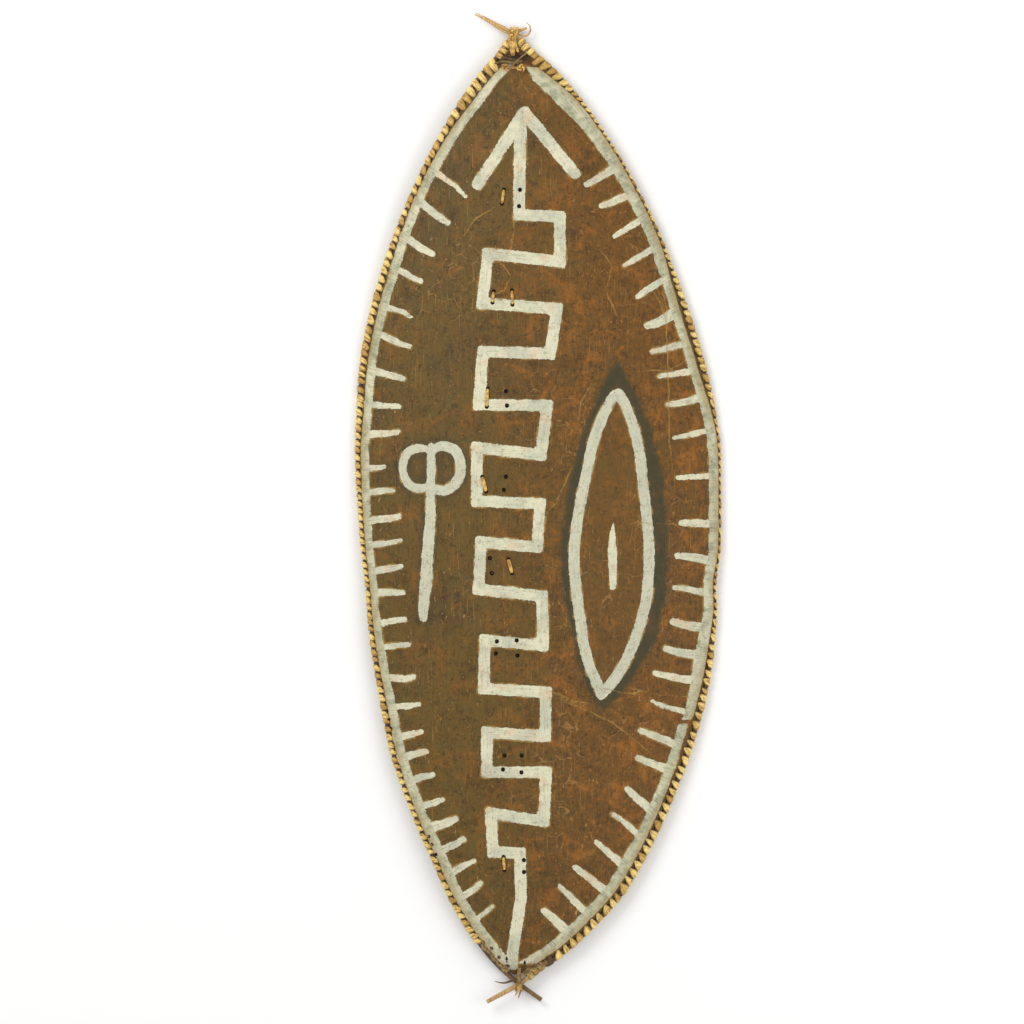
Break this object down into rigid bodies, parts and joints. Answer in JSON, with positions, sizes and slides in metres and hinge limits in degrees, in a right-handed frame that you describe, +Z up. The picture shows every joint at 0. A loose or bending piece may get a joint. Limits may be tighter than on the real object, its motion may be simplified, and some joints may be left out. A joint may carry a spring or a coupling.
{
  "type": "hide shield",
  "caption": "Long pointed hide shield with a painted face, a withy rim laced in rawhide and a bowed back stave as handgrip, lying face up.",
  "frame": {"origin": "under the middle of the shield, on the surface that it lies on", "axes": "+Z up out of the painted face, +Y towards the top tip, +X to the right as the face is seen"},
  "size_m": [0.4796, 1.2936, 0.0722],
  "materials": {
    "hide": "worn satin",
    "lacing": "dry satin",
    "thong": "dry satin",
    "withy": "peeled, dry",
    "stave": "whittled, worn"
  },
  "bodies": {
    "root": {"hide": "hide", "handle_stave": "stave", "left_withy": "withy", "right_withy": "withy", "left_lacing": "lacing", "right_lacing": "lacing", "stave_tie_1": "thong", "stave_tie_2": "thong", "stave_tie_3": "thong", "stave_tie_4": "thong", "stave_tie_5": "thong", "stave_tie_6": "thong", "stave_tie_7": "thong", "stave_tie_8": "thong", "stave_end_tie_top": "thong", "stave_end_tie_bottom": "thong", "tip_thong_top": "thong", "tip_thong_bottom": "thong"}
  },
  "joints": []
}
